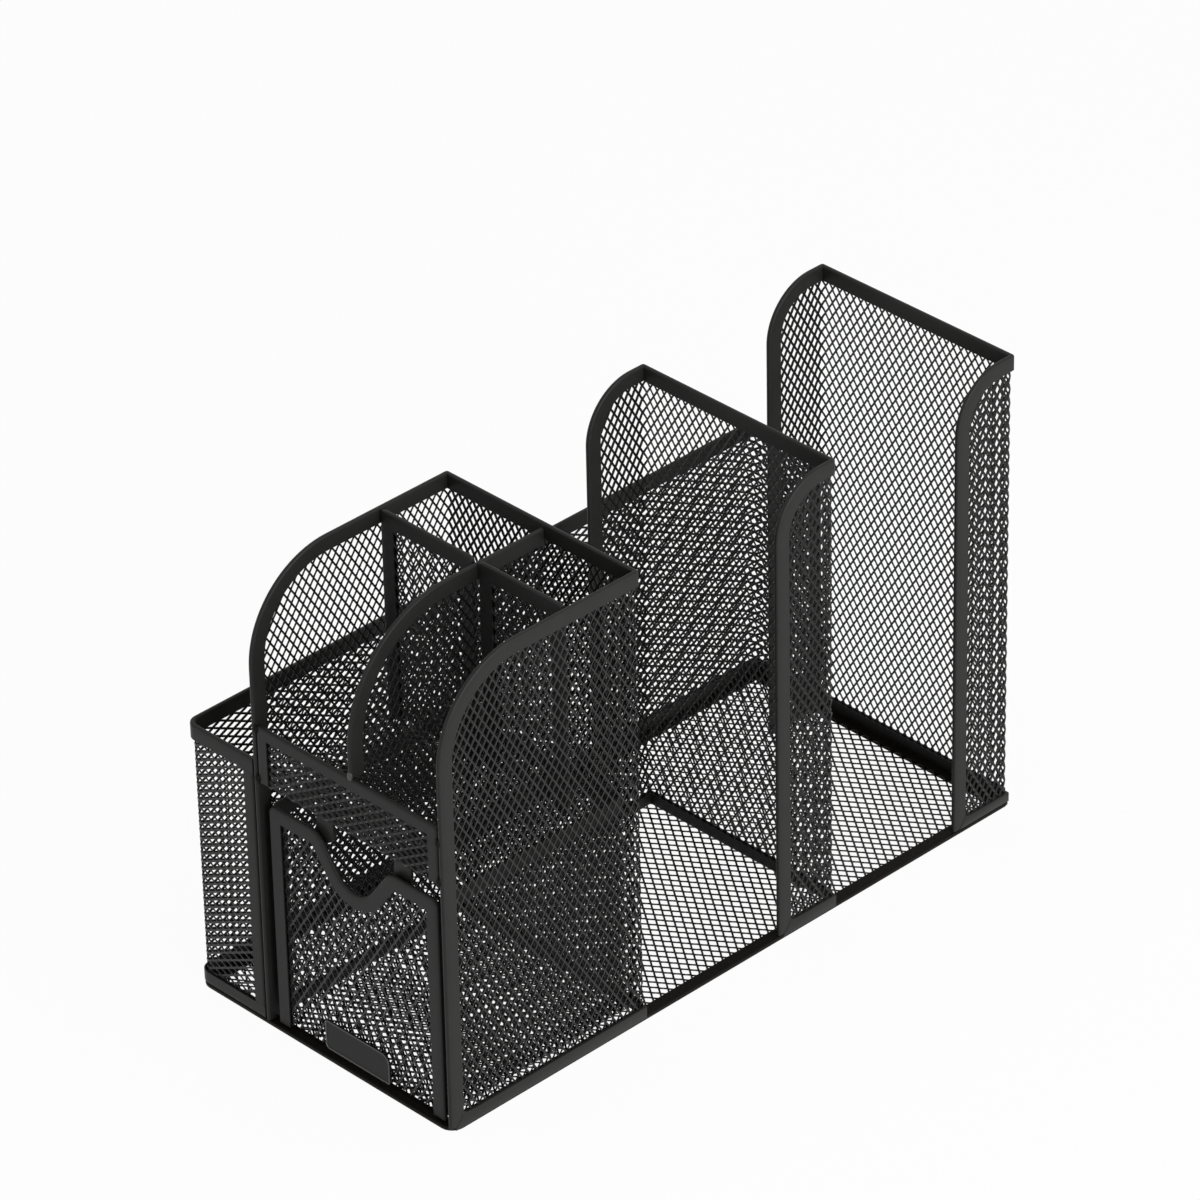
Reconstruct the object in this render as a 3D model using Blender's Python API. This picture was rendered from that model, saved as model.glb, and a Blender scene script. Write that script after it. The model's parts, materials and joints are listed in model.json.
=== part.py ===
"""Mesh countertop organizer: a drawer under packet and stirrer bays, a napkin trough along
the left side and two open cup bays behind, all of flat expanded mesh panels whose edges sit
in folded steel strips.

Metres, +Z up. X runs to the right as seen from the drawer, Y runs from the drawer front to
the back, and the origin is the middle of the base on the surface it stands on. The drawer
slides out along -Y.
"""
import math

import bmesh
import bpy
from mathutils import Matrix, Vector
from mathutils.geometry import delaunay_2d_cdt

# Overall footprint
WIDTH = 0.132
LENGTH = 0.285

# Folded strip and mesh sheet
STRIP_THICK = 0.0022
STRIP_WALL = 0.0005
MESH_THICK = 0.0006
GAP = 0.0003
BAND = 0.0062
FOOT_BAND = 0.0042
SOFT_EDGE_SHARE = 0.5

# Base
BASE_BAND = 0.005
BASE_ROUND = 0.0055

# Condiment box at the front
BOX_DEPTH = 0.0963
BOX_HEIGHT = 0.1885
BOX_ROUND = 0.038
SHELF_LEVEL = 0.1029
LIP_HEIGHT = 0.025
LIP_BEND = 0.0015
LIP_BAND = 0.0048
CROSS_WALL_SET = 0.0627
DIVIDER_SET = 0.0863
DIVIDER_DROP = 0.0015
DIVIDER_ROUND_SHARE = 0.812
SHELF_FRONT_BORDER = 0.0115

# Drawer
DRAWER_SIDE_PLAY = 0.00295
DRAWER_BACK_PLAY = 0.0021
DRAWER_RECESS = 0.0015
DRAWER_TOP_PLAY = 0.0076
DRAWER_BAND = 0.0058
DRAWER_ROUND = 0.0065
NOTCH_DEPTH = 0.0175
NOTCH_FLOOR_ROUND = 0.0105
NOTCH_SHOULDER_ROUND = 0.0077
NOTCH_SLOPE = 54
LABEL_WIDTH = 0.031
LABEL_HEIGHT = 0.0125
LABEL_THICK = 0.001
LABEL_LIFT = 0.0042
LABEL_ROUND = 0.0016
LABEL_SET = 0.0667

# Stops that hang under the shelf behind the drawer front
STOP_WIDTH = 0.0085
STOP_DROP = 0.0113
STOP_THICK = 0.0012
STOP_BEND = 0.0012
STOP_SEAT = 0.006
STOP_PLAY = 0.0008
STOP_ROUND = 0.0040
STOP_PLACE_SHARES = (0.305, 0.765)

# Napkin trough along the left side
NAPKIN_WIDTH = 0.036
NAPKIN_HEIGHT = 0.1125
NAPKIN_ROUND = 0.005
POST_BAND = 0.005

# Cup cradles behind the box
CUP_BAY_LENGTH = 0.0945
FIRST_CRADLE_HEIGHT = 0.1905
LAST_CRADLE_HEIGHT = 0.1935
WING_LENGTH = 0.030
WING_ROUND = 0.0225

# Diamond net of the panels
NET_SHORT = 0.029
NET_LONG = 0.040
NET_STRAND = 0.0022
NET_BORDER = 0.0008
NET_END_BORDER = 0.003
SMALLEST_GAP_SHARE = 0.3
SAME_POINT = 0.000001

# Steps of the round stretches
ARC_STEPS = 8
CORNER_STEPS = 4
BEND_STEPS = 3

# Worked out from the sizes above
LEFT = -WIDTH / 2
RIGHT = WIDTH / 2
FRONT = -LENGTH / 2
STRIP_HALF = STRIP_THICK / 2
MESH_HALF = MESH_THICK / 2
EDGE_SET = STRIP_WALL + GAP
FLOOR = STRIP_THICK + GAP
MESH_REACH = STRIP_HALF - MESH_HALF
BOX_LEFT = LEFT + NAPKIN_WIDTH
BOX_INNER_LEFT = BOX_LEFT + STRIP_THICK
BOX_INNER_RIGHT = RIGHT - STRIP_THICK
BAY_LEFT = BOX_INNER_LEFT + GAP
BAY_RIGHT = BOX_INNER_RIGHT - GAP
BAY_WIDTH = BAY_RIGHT - BAY_LEFT
BOX_INNER_DEPTH = BOX_DEPTH - STRIP_THICK
SHELF_MIDDLE = SHELF_LEVEL - MESH_HALF
SHELF_STAND = SHELF_LEVEL + GAP
LIP_TOP = SHELF_LEVEL + LIP_HEIGHT
DIVIDER_HEIGHT = BOX_HEIGHT - DIVIDER_DROP
DIVIDER_ROUND = (DIVIDER_HEIGHT - LIP_TOP) * DIVIDER_ROUND_SHARE
DRAWER_TOP = SHELF_LEVEL - DRAWER_TOP_PLAY
DRAWER_LEFT = BOX_INNER_LEFT + DRAWER_SIDE_PLAY
DRAWER_RIGHT = BOX_INNER_RIGHT - DRAWER_SIDE_PLAY
DRAWER_WIDTH = DRAWER_RIGHT - DRAWER_LEFT
DRAWER_BACK = BOX_INNER_DEPTH - DRAWER_BACK_PLAY
DRAWER_START = DRAWER_RECESS + STRIP_THICK + GAP
NOTCH_TURN = math.radians(NOTCH_SLOPE)
NOTCH_ROUNDS = NOTCH_FLOOR_ROUND + NOTCH_SHOULDER_ROUND
NOTCH_STRAIGHT = (NOTCH_DEPTH - NOTCH_ROUNDS * (1 - math.cos(NOTCH_TURN))) / math.sin(NOTCH_TURN)
NOTCH_HALF = NOTCH_ROUNDS * math.sin(NOTCH_TURN) + NOTCH_STRAIGHT * math.cos(NOTCH_TURN)
CRADLE_BACKS = (BOX_DEPTH + CUP_BAY_LENGTH + STRIP_THICK, LENGTH)
CRADLE_HEIGHTS = (FIRST_CRADLE_HEIGHT, LAST_CRADLE_HEIGHT)

# Finishes: colour, roughness, metallic
STRIP_COAT = ((0.050, 0.048, 0.047), 0.38, 0.35)
MESH_COAT = ((0.022, 0.020, 0.019), 0.45, 0.35)
LABEL_COAT = ((0.035, 0.034, 0.034), 0.30, 0.45)


def turn(x_axis, y_axis):
    """Rotation that takes a flat pattern's own X and Y to the given directions."""
    x_axis, y_axis = Vector(x_axis), Vector(y_axis)
    return Matrix((x_axis, y_axis, x_axis.cross(y_axis))).transposed().to_euler()


FLAT = turn((1, 0, 0), (0, 1, 0))
SIDEWAYS = turn((0, 1, 0), (0, 0, 1))
ACROSS = turn((1, 0, 0), (0, 0, 1))
ACROSS_LEFT = turn((-1, 0, 0), (0, 0, 1))
HANGING = turn((0, 0, -1), (-1, 0, 0))
FORWARD = turn((0, -1, 0), (1, 0, 0))


def clear_scene():
    for item in list(bpy.data.objects):
        bpy.data.objects.remove(item, do_unlink=True)


def coat(name, values):
    colour, roughness, metallic = values
    material = bpy.data.materials.new(name + "_coat")
    material.use_nodes = True
    shader = material.node_tree.nodes["Principled BSDF"]
    shader.inputs["Base Color"].default_value = (*colour, 1)
    shader.inputs["Roughness"].default_value = roughness
    shader.inputs["Metallic"].default_value = metallic
    material.diffuse_color = (*colour, 1)
    return material


def carrier(name, spot):
    """An empty that carries pieces."""
    empty = bpy.data.objects.new(name, None)
    bpy.context.scene.collection.objects.link(empty)
    empty.location = spot
    return empty


def put(name, shape, values, spot, direction, parent):
    """Turns a finished bmesh into a named object standing at its spot."""
    bmesh.ops.recalc_face_normals(shape, faces=shape.faces)
    mesh = bpy.data.meshes.new(name)
    shape.to_mesh(mesh)
    shape.free()
    mesh.shade_smooth()
    mesh.set_sharp_from_angle(angle=math.radians(35))
    mesh.materials.append(coat(name, values))
    item = bpy.data.objects.new(name, mesh)
    bpy.context.scene.collection.objects.link(item)
    item.parent = parent
    item.location = Vector(spot) - parent.location
    item.rotation_euler = direction
    return item


def arc(centre, radius, start, end, steps):
    """Points on a circle from one angle to another, both ends included."""
    points = []
    for step in range(steps + 1):
        angle = math.radians(start + (end - start) * step / steps)
        points.append((centre[0] + radius * math.cos(angle), centre[1] + radius * math.sin(angle)))
    return points


def rounded_rectangle(low, high, radius, steps=CORNER_STEPS):
    """A rectangle's outline, anticlockwise, with round corners."""
    corners = (
        ((high[0] - radius, low[1] + radius), -90),
        ((high[0] - radius, high[1] - radius), 0),
        ((low[0] + radius, high[1] - radius), 90),
        ((low[0] + radius, low[1] + radius), 180),
    )
    points = []
    for centre, start in corners:
        points += arc(centre, radius, start, start + 90, steps)
    return points


def rectangle(low, high):
    return [(low[0], low[1]), (high[0], low[1]), (high[0], high[1]), (low[0], high[1])]


def one_round_corner(low, high, radius):
    """A rectangle whose upper near corner is an arc, anticlockwise."""
    near_arc = arc((low[0] + radius, high[1] - radius), radius, 90, 180, ARC_STEPS)
    return [(low[0], low[1]), (high[0], low[1]), (high[0], high[1])] + near_arc


def channel(depth):
    """Section of a folded strip: a U with softened outer edges, open into the panel.

    The first value runs into the panel, the second across its thickness.
    """
    soft = STRIP_HALF * SOFT_EDGE_SHARE
    inner = STRIP_HALF - STRIP_WALL
    return [
        (depth, -STRIP_HALF), (soft, -STRIP_HALF), (0, soft - STRIP_HALF),
        (0, STRIP_HALF - soft), (soft, STRIP_HALF), (depth, STRIP_HALF),
        (depth, inner), (STRIP_WALL, inner), (STRIP_WALL, -inner), (depth, -inner),
    ]


def swept(path, into, section, closed=False):
    """Runs a section along a path of points and mitres it where the path turns.

    into points, on the first run, from the path into the panel.
    """
    path = [Vector(point).to_3d() for point in path]
    ends = path + path[:1] if closed else path
    runs = [(after - before).normalized() for before, after in zip(ends, ends[1:])]
    shape = bmesh.new()
    rings = []
    into = Vector(into).to_3d()
    across = (into - runs[0] * into.dot(runs[0])).normalized()
    for place, point in enumerate(path):
        run = runs[min(place, len(runs) - 1)]
        last = runs[place - 1] if place or closed else run
        if place and place < len(runs):
            across = last.rotation_difference(run) @ across
        mitre = (last + run).normalized()
        side = run.cross(across)
        ring = []
        for depth, height in section:
            offset = across * depth + side * height
            ring.append(shape.verts.new(point + offset - run * (offset.dot(mitre) / run.dot(mitre))))
        rings.append(ring)
    pairs = list(zip(rings, rings[1:]))
    if closed:
        pairs.append((rings[-1], rings[0]))
    for near, far in pairs:
        for index in range(len(section)):
            after = (index + 1) % len(section)
            shape.faces.new((near[index], near[after], far[after], far[index]))
    if not closed:
        shape.faces.new(rings[0])
        shape.faces.new(list(reversed(rings[-1])))
    return shape


def clipped(polygon, window):
    """The part of a convex polygon that lies inside a convex anticlockwise window."""
    for start, end in zip(window, window[1:] + window[:1]):
        kept = []
        for point, after in zip(polygon, polygon[1:] + polygon[:1]):
            here = beside(start, end, point)
            there = beside(start, end, after)
            if here >= 0:
                kept.append(point)
            if here * there < 0:
                share = here / (here - there)
                kept.append(tuple(a + (b - a) * share for a, b in zip(point, after)))
        polygon = kept
    return [point for place, point in enumerate(polygon) if math.dist(point, polygon[place - 1]) > GAP]


def beside(start, end, point):
    """Positive when a point lies to the left of the line from start to end."""
    return (end[0] - start[0]) * (point[1] - start[1]) - (end[1] - start[1]) * (point[0] - start[0])


def area(polygon):
    pairs = zip(polygon, polygon[1:] + polygon[:1])
    return sum(a[0] * b[1] - a[1] * b[0] for a, b in pairs) / 2


def diamonds(window, wide, tall):
    """The gaps of an expanded sheet: staggered diamonds, cut by the window's edge."""
    low = [min(point[axis] for point in window) for axis in (0, 1)]
    high = [max(point[axis] for point in window) for axis in (0, 1)]
    columns = max(1, round((high[0] - low[0]) / wide))
    rows = max(1, round((high[1] - low[1]) / tall))
    half_wide = (high[0] - low[0]) / columns / 2
    half_tall = (high[1] - low[1]) / rows / 2
    keep = 1 - NET_STRAND / 2 * math.hypot(half_wide, half_tall) / (half_wide * half_tall)
    reach_wide, reach_tall = half_wide * keep, half_tall * keep
    gaps = []
    for row in range(2 * rows + 1):
        for column in range(columns + 1):
            across = low[0] + half_wide * (2 * column + row % 2)
            up = low[1] + half_tall * row
            whole = [
                (across - reach_wide, up), (across, up - reach_tall),
                (across + reach_wide, up), (across, up + reach_tall),
            ]
            gap = clipped(whole, window)
            if len(gap) > 2 and area(gap) > SMALLEST_GAP_SHARE * area(whole):
                gaps.append(gap)
    return gaps


def sheet(outline, gaps, thick, bend=None):
    """A flat sheet with gaps, and where asked with its end rolled round a quarter bend.

    bend is the place along X where it starts, its middle radius, and +1 or -1 for its side.
    """
    points, loops = [], []
    for loop in [outline] + gaps:
        loops.append(list(range(len(points), len(points) + len(loop))))
        points += [Vector(point) for point in loop]
    holes_left_open = 2
    filled = delaunay_2d_cdt(points, [], loops, holes_left_open, SAME_POINT)
    shape = bmesh.new()
    corners = [shape.verts.new((point[0], point[1], -thick / 2)) for point in filled[0]]
    for face in filled[2]:
        shape.faces.new([corners[place] for place in face])
    raised = bmesh.ops.extrude_face_region(shape, geom=list(shape.faces), use_keep_orig=True)
    for item in raised["geom"]:
        if isinstance(item, bmesh.types.BMVert):
            item.co.z += thick
    if bend:
        roll(shape, *bend)
    return shape


def roll(shape, start, radius, side):
    """Rolls what lies past start round a quarter bend, then straight on."""
    quarter = radius * math.pi / 2
    end = max(point.co.x for point in shape.verts)
    for step in range(BEND_STEPS + 1):
        place = start + quarter * step / BEND_STEPS
        if end - place > GAP:
            everything = list(shape.verts) + list(shape.edges) + list(shape.faces)
            bmesh.ops.bisect_plane(shape, geom=everything, plane_co=(place, 0, 0), plane_no=(1, 0, 0))
    for point in shape.verts:
        past = point.co.x - start
        if past > 0:
            angle = min(past, quarter) / radius
            rest = max(past - quarter, 0)
            height = point.co.z * side
            point.co.x = start + (radius - height) * math.sin(angle)
            point.co.z = side * (radius - (radius - height) * math.cos(angle) + rest)


def side_wall(name, middle, front, length, height, radius, parent):
    """A mesh wall along Y: its rim runs up the front edge, round the arc and along the top."""
    spot = (middle, FRONT + front, 0)
    path = [(0, FLOOR)]
    path += reversed(arc((radius, height - radius), radius, 90, 180, ARC_STEPS))
    path += [(length, height)]
    put(name + "_rim", swept(path, (1, 0), channel(BAND)), STRIP_COAT, spot, SIDEWAYS, parent)
    foot = swept([(BAND + GAP, FLOOR), (length, FLOOR)], (0, 1), channel(FOOT_BAND))
    put(name + "_foot", foot, STRIP_COAT, spot, SIDEWAYS, parent)
    low = (EDGE_SET, FLOOR + EDGE_SET)
    high = (length - EDGE_SET, height - EDGE_SET)
    outline = one_round_corner(low, high, radius - EDGE_SET)
    inside = BAND + NET_BORDER
    low = (inside, FLOOR + FOOT_BAND + NET_BORDER)
    high = (length - NET_END_BORDER, height - inside)
    window = one_round_corner(low, high, radius - inside)
    net = sheet(outline, diamonds(window, NET_SHORT, NET_LONG), MESH_THICK)
    put(name + "_mesh", net, MESH_COAT, spot, SIDEWAYS, parent)


def back_wall(name, back, height, parent):
    """A mesh wall across X, between two side walls, with a strip along its top and foot."""
    spot = (BAY_LEFT, FRONT + back - STRIP_HALF, 0)
    top = swept([(0, height), (BAY_WIDTH, height)], (0, -1), channel(BAND))
    put(name + "_rim", top, STRIP_COAT, spot, ACROSS, parent)
    foot = swept([(0, FLOOR), (BAY_WIDTH, FLOOR)], (0, 1), channel(FOOT_BAND))
    put(name + "_foot", foot, STRIP_COAT, spot, ACROSS, parent)
    low = FLOOR + FOOT_BAND + GAP
    high = height - BAND - GAP
    outline = [(0, FLOOR + EDGE_SET), (BAY_WIDTH, FLOOR + EDGE_SET), (BAY_WIDTH, low)]
    outline += [(BAY_WIDTH + MESH_REACH, low), (BAY_WIDTH + MESH_REACH, high), (BAY_WIDTH, high)]
    outline += [(BAY_WIDTH, height - EDGE_SET), (0, height - EDGE_SET), (0, high)]
    outline += [(-MESH_REACH, high), (-MESH_REACH, low), (0, low)]
    corner = (NET_END_BORDER, FLOOR + FOOT_BAND + NET_BORDER)
    far = (BAY_WIDTH - NET_END_BORDER, height - BAND - NET_BORDER)
    gaps = diamonds(rectangle(corner, far), NET_SHORT, NET_LONG)
    put(name + "_mesh", sheet(outline, gaps, MESH_THICK), MESH_COAT, spot, ACROSS, parent)


def base(parent):
    """The flat base: a mesh floor in a ring of strip with rounded corners."""
    spot = (LEFT, FRONT, STRIP_HALF)
    ring = rounded_rectangle((0, 0), (WIDTH, LENGTH), BASE_ROUND)
    rim = swept(ring, Vector((-1, 1)).normalized(), channel(BASE_BAND), closed=True)
    put("base_rim", rim, STRIP_COAT, spot, FLAT, parent)
    low, high = (EDGE_SET, EDGE_SET), (WIDTH - EDGE_SET, LENGTH - EDGE_SET)
    outline = rounded_rectangle(low, high, BASE_ROUND - EDGE_SET)
    inside = BASE_BAND + NET_BORDER
    window = rectangle((inside, inside), (WIDTH - inside, LENGTH - inside))
    net = sheet(outline, diamonds(window, NET_LONG, NET_SHORT), MESH_THICK)
    put("base_mesh", net, MESH_COAT, spot, FLAT, parent)


def divider(parent):
    """The upright sheet between the two columns of bays, with its larger front arc."""
    spot = (LEFT + DIVIDER_SET, FRONT, 0)
    end = BOX_INNER_DEPTH - GAP
    stand = LIP_TOP + GAP
    centre = (DIVIDER_ROUND, DIVIDER_HEIGHT - DIVIDER_ROUND)
    path = [(0, stand)]
    path += reversed(arc(centre, DIVIDER_ROUND, 90, 180, ARC_STEPS))
    path += [(end, DIVIDER_HEIGHT)]
    rim = swept(path, (1, 0), channel(BAND))
    put("divider_rim", rim, STRIP_COAT, spot, SIDEWAYS, parent)
    behind = STRIP_THICK + GAP
    outline = [(behind, SHELF_STAND), (end, SHELF_STAND), (end, DIVIDER_HEIGHT - EDGE_SET)]
    outline += arc(centre, DIVIDER_ROUND - EDGE_SET, 90, 180, ARC_STEPS)
    outline += [(EDGE_SET, stand), (behind, stand)]
    inside = BAND + NET_BORDER
    low = (inside, SHELF_STAND + NET_END_BORDER)
    high = (end - NET_END_BORDER, DIVIDER_HEIGHT - inside)
    window = one_round_corner(low, high, DIVIDER_ROUND - inside)
    net = sheet(outline, diamonds(window, NET_SHORT, NET_LONG), MESH_THICK)
    put("divider_mesh", net, MESH_COAT, spot, SIDEWAYS, parent)


def cross_wall(name, start, end, parent):
    """A small wall that parts a packet bay from the stirrer bay behind it."""
    spot = (start, FRONT + CROSS_WALL_SET, 0)
    width = end - start
    path = [(0, SHELF_STAND), (0, BOX_HEIGHT), (width, BOX_HEIGHT), (width, SHELF_STAND)]
    rim = swept(path, (1, 0), channel(BAND))
    put(name + "_rim", rim, STRIP_COAT, spot, ACROSS, parent)
    low, high = (EDGE_SET, SHELF_STAND), (width - EDGE_SET, BOX_HEIGHT - EDGE_SET)
    inside = BAND + NET_BORDER
    window = rectangle((inside, SHELF_STAND + NET_END_BORDER), (width - inside, BOX_HEIGHT - inside))
    net = sheet(rectangle(low, high), diamonds(window, NET_SHORT, NET_LONG), MESH_THICK)
    put(name + "_mesh", net, MESH_COAT, spot, ACROSS, parent)


def shelf(parent):
    """The mesh floor of the bays, from behind the lip to the rear wall."""
    start = STRIP_HALF + LIP_BEND + GAP
    end = BOX_INNER_DEPTH + MESH_REACH - GAP
    clear_band = BAND + GAP
    outline = [(0, start), (BAY_WIDTH, start), (BAY_WIDTH, clear_band)]
    outline += [(BAY_WIDTH + MESH_REACH, clear_band), (BAY_WIDTH + MESH_REACH, end)]
    outline += [(-MESH_REACH, end), (-MESH_REACH, clear_band), (0, clear_band)]
    low = (NET_END_BORDER, start + SHELF_FRONT_BORDER)
    high = (BAY_WIDTH - NET_END_BORDER, end - NET_END_BORDER)
    gaps = diamonds(rectangle(low, high), NET_LONG, NET_SHORT)
    spot = (BAY_LEFT, FRONT, SHELF_MIDDLE)
    put("shelf_mesh", sheet(outline, gaps, MESH_THICK), MESH_COAT, spot, FLAT, parent)


def lip(parent):
    """The upturned front of the bays: its mesh rolls under into the shelf."""
    start = SHELF_MIDDLE + LIP_BEND + GAP
    path = [(0, start), (0, LIP_TOP), (BAY_WIDTH, LIP_TOP), (BAY_WIDTH, start)]
    spot = (BAY_LEFT, FRONT + STRIP_HALF, 0)
    put("lip_rim", swept(path, (1, 0), channel(LIP_BAND)), STRIP_COAT, spot, ACROSS, parent)
    straight = LIP_TOP - EDGE_SET - SHELF_MIDDLE - LIP_BEND
    width = BAY_WIDTH - EDGE_SET * 2
    outline = rectangle((0, 0), (straight + LIP_BEND * math.pi / 2, width))
    inside = LIP_BAND - EDGE_SET + NET_BORDER
    window = rectangle((inside, inside), (straight - NET_BORDER, width - inside))
    gaps = diamonds(window, NET_SHORT, NET_LONG)
    mesh = sheet(outline, gaps, MESH_THICK, bend=(straight, LIP_BEND, 1))
    spot = (BAY_RIGHT - EDGE_SET, FRONT + STRIP_HALF, LIP_TOP - EDGE_SET)
    put("lip_mesh", mesh, MESH_COAT, spot, HANGING, parent)


def drawer_stop(name, share, parent):
    """A bent tongue under the shelf that the back of the drawer meets when it is pulled out."""
    middle = DRAWER_LEFT + DRAWER_WIDTH * share
    face = DRAWER_RECESS + STRIP_THICK + STOP_PLAY
    seat_start = face + STOP_THICK / 2 + STOP_BEND + STOP_SEAT
    drop = STOP_DROP - STOP_THICK / 2 - STOP_BEND
    tip = STOP_SEAT + STOP_BEND * math.pi / 2 + drop
    outline = [(0, 0)]
    outline += arc((tip - STOP_ROUND, STOP_ROUND), STOP_ROUND, -90, 0, CORNER_STEPS)
    outline += arc((tip - STOP_ROUND, STOP_WIDTH - STOP_ROUND), STOP_ROUND, 0, 90, CORNER_STEPS)
    outline += [(0, STOP_WIDTH)]
    level = SHELF_LEVEL - MESH_THICK - GAP - STOP_THICK / 2
    shape = sheet(outline, [], STOP_THICK, bend=(STOP_SEAT, STOP_BEND, -1))
    spot = (middle - STOP_WIDTH / 2, FRONT + seat_start, level)
    put(name, shape, STRIP_COAT, spot, FORWARD, parent)


def trough_path(level):
    """Middle line of the napkin trough's strips: front, left side and rear, round its corners."""
    end = NAPKIN_WIDTH - GAP
    radius = NAPKIN_ROUND - STRIP_HALF
    path = [(end, STRIP_HALF)]
    path += reversed(arc((NAPKIN_ROUND, NAPKIN_ROUND), radius, 180, 270, CORNER_STEPS))
    path += reversed(arc((NAPKIN_ROUND, LENGTH - NAPKIN_ROUND), radius, 90, 180, CORNER_STEPS))
    path += [(end, LENGTH - STRIP_HALF)]
    return [(point[0], point[1], level) for point in path]


def trough_strips(parent):
    """The rim and foot that run round the trough, and the upright strips at its two ends."""
    spot = (LEFT, FRONT, 0)
    rim = swept(trough_path(NAPKIN_HEIGHT), (0, 0, -1), channel(BAND))
    put("napkin_rim", rim, STRIP_COAT, spot, FLAT, parent)
    foot = swept(trough_path(FLOOR), (0, 0, 1), channel(FOOT_BAND))
    put("napkin_foot", foot, STRIP_COAT, spot, FLAT, parent)
    low = FLOOR + FOOT_BAND + GAP
    high = NAPKIN_HEIGHT - BAND - GAP
    for name, place in (("napkin_front_post", STRIP_HALF), ("napkin_rear_post", LENGTH - STRIP_HALF)):
        post = swept([(0, low), (0, high)], (-1, 0), channel(POST_BAND))
        spot = (BOX_LEFT - GAP, FRONT + place, 0)
        put(name, post, STRIP_COAT, spot, ACROSS, parent)


def trough_meshes(parent):
    """The trough's long side, and its two ends, each rolled round a corner to meet it."""
    low, high = FLOOR + EDGE_SET, NAPKIN_HEIGHT - EDGE_SET
    window_low = FLOOR + FOOT_BAND + NET_BORDER
    window_high = NAPKIN_HEIGHT - BAND - NET_BORDER
    start, end = NAPKIN_ROUND + GAP, LENGTH - NAPKIN_ROUND - GAP
    window = rectangle((start + NET_END_BORDER, window_low), (end - NET_END_BORDER, window_high))
    outline = rectangle((start, low), (end, high))
    net = sheet(outline, diamonds(window, NET_LONG, NET_SHORT), MESH_THICK)
    put("napkin_side_mesh", net, MESH_COAT, (LEFT + STRIP_HALF, FRONT, 0), SIDEWAYS, parent)
    straight = NAPKIN_WIDTH - GAP - EDGE_SET - NAPKIN_ROUND
    radius = NAPKIN_ROUND - STRIP_HALF
    outline = rectangle((0, low), (straight + radius * math.pi / 2, high))
    inside = POST_BAND - EDGE_SET + NET_BORDER
    window = rectangle((inside, window_low), (straight - NET_BORDER, window_high))
    gaps = diamonds(window, NET_LONG, NET_SHORT)
    ends = (("napkin_front_mesh", STRIP_HALF, 1), ("napkin_rear_mesh", LENGTH - STRIP_HALF, -1))
    for name, place, side in ends:
        mesh = sheet(outline, gaps, MESH_THICK, bend=(straight, radius, side))
        spot = (BOX_LEFT - GAP - EDGE_SET, FRONT + place, 0)
        put(name, mesh, MESH_COAT, spot, ACROSS_LEFT, parent)


def drawer_outline(inset):
    """The drawer front's edge from lower left, over its notch, to lower right."""
    middle = DRAWER_WIDTH / 2
    corner = DRAWER_ROUND - inset
    corner_level = DRAWER_TOP - DRAWER_ROUND
    shoulder = NOTCH_SHOULDER_ROUND - inset
    shoulder_level = DRAWER_TOP - NOTCH_SHOULDER_ROUND
    floor_middle = (middle, DRAWER_TOP - NOTCH_DEPTH + NOTCH_FLOOR_ROUND)
    left_low, left_high = 270 - NOTCH_SLOPE, 90 - NOTCH_SLOPE
    right_low, right_high = 270 + NOTCH_SLOPE, 90 + NOTCH_SLOPE
    points = [(inset, FLOOR)]
    points += arc((DRAWER_ROUND, corner_level), corner, 180, 90, CORNER_STEPS)
    points += arc((middle - NOTCH_HALF, shoulder_level), shoulder, 90, left_high, CORNER_STEPS)
    points += arc(floor_middle, NOTCH_FLOOR_ROUND + inset, left_low, right_low, ARC_STEPS)
    points += arc((middle + NOTCH_HALF, shoulder_level), shoulder, right_high, 90, CORNER_STEPS)
    points += arc((DRAWER_WIDTH - DRAWER_ROUND, corner_level), corner, 90, 0, CORNER_STEPS)
    return points + [(DRAWER_WIDTH - inset, FLOOR)]


def drawer_front(parent):
    """The front panel with its finger notch, whose strip follows the notch's curves."""
    spot = (DRAWER_LEFT, FRONT + DRAWER_RECESS + STRIP_HALF, 0)
    rim = swept(drawer_outline(0), (1, 0), channel(DRAWER_BAND))
    put("drawer_front_rim", rim, STRIP_COAT, spot, ACROSS, parent)
    inside = DRAWER_BAND + NET_BORDER
    low = FLOOR + NET_END_BORDER
    notch_low = DRAWER_TOP - NOTCH_DEPTH - inside
    middle = DRAWER_WIDTH / 2
    high = DRAWER_TOP - inside
    far = DRAWER_WIDTH - inside
    windows = (
        rectangle((inside, low), (far, notch_low)),
        rectangle((inside, notch_low + NET_STRAND), (middle - NOTCH_HALF, high)),
        rectangle((middle + NOTCH_HALF, notch_low + NET_STRAND), (far, high)),
    )
    gaps = []
    for window in windows:
        gaps += diamonds(window, NET_SHORT, NET_LONG)
    outline = list(reversed(drawer_outline(EDGE_SET)))
    put("drawer_front_mesh", sheet(outline, gaps, MESH_THICK), MESH_COAT, spot, ACROSS, parent)


def label_plate(parent):
    """The small bare plate low on the drawer front."""
    outline = rounded_rectangle((0, 0), (LABEL_WIDTH, LABEL_HEIGHT), LABEL_ROUND)
    face = DRAWER_RECESS + STRIP_HALF - MESH_HALF - GAP - LABEL_THICK / 2
    spot = (LEFT + LABEL_SET, FRONT + face, LABEL_LIFT)
    put("label_plate", sheet(outline, [], LABEL_THICK), LABEL_COAT, spot, ACROSS, parent)


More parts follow.
